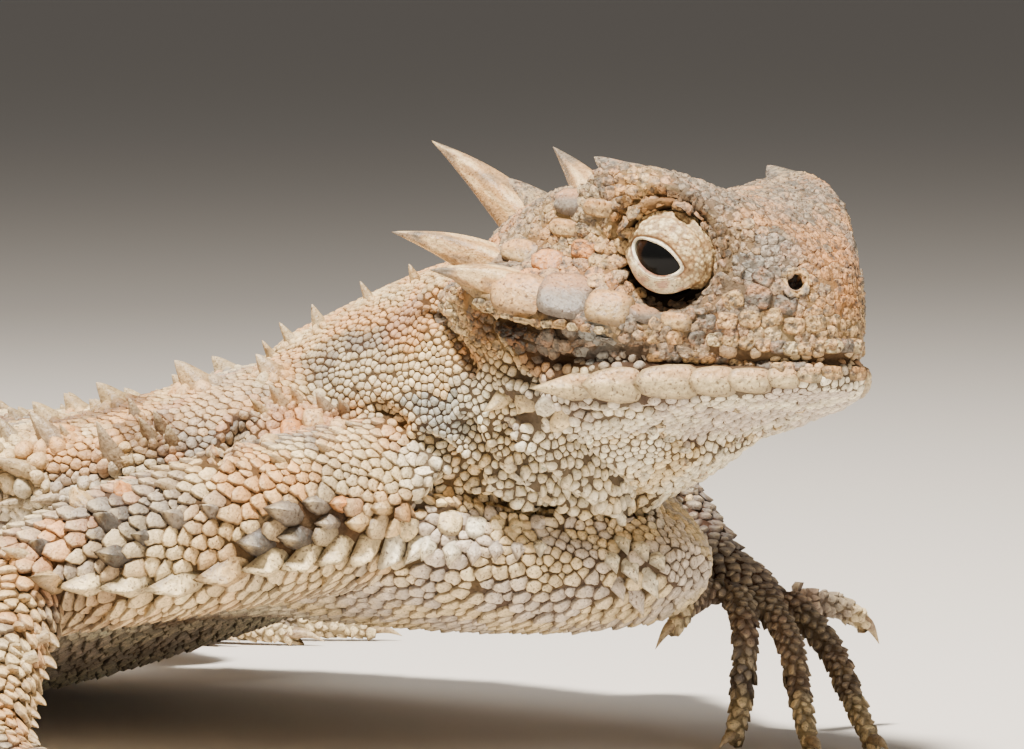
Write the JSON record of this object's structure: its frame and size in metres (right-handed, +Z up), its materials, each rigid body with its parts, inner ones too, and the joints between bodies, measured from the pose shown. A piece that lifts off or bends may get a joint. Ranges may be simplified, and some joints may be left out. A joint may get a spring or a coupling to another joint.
{
  "type": "horned lizard model",
  "caption": "Life-size still model of a desert horned lizard, propped on its forelegs with its head raised, with horned crown, fringed flanks, spiny back and tapering tail.",
  "frame": {"origin": "on the floor, in the flat of the belly under the middle of the trunk", "axes": "+X forward along the trunk towards the snout, +Y to the animal's left, +Z up"},
  "size_m": [0.1098, 0.0786, 0.0249],
  "materials": {
    "skin": "matte, granular scales",
    "pale_skin": "matte, beaded scales",
    "horn": "satin, dry horn",
    "eye": "wet gloss"
  },
  "bodies": {
    "root": {"head": "skin", "torso": "skin", "upper_arm_right": "skin", "upper_arm_left": "skin", "forearm_right": "skin", "forearm_left": "skin", "hand_right": "skin", "hand_left": "skin", "thigh_right": "skin", "thigh_left": "skin", "shin_right": "skin", "shin_left": "skin", "foot_right": "skin", "foot_left": "skin", "tail_base": "skin", "tail_middle": "skin", "tail_tip": "skin", "neck": "pale_skin", "lower_jaw": "pale_skin", "occipital_horn_right": "horn", "occipital_horn_left": "horn", "temporal_horn_right": "horn", "temporal_horn_left": "horn", "side_horn_right": "horn", "side_horn_left": "horn", "eye_right": "eye", "eye_left": "eye"}
  },
  "joints": []
}
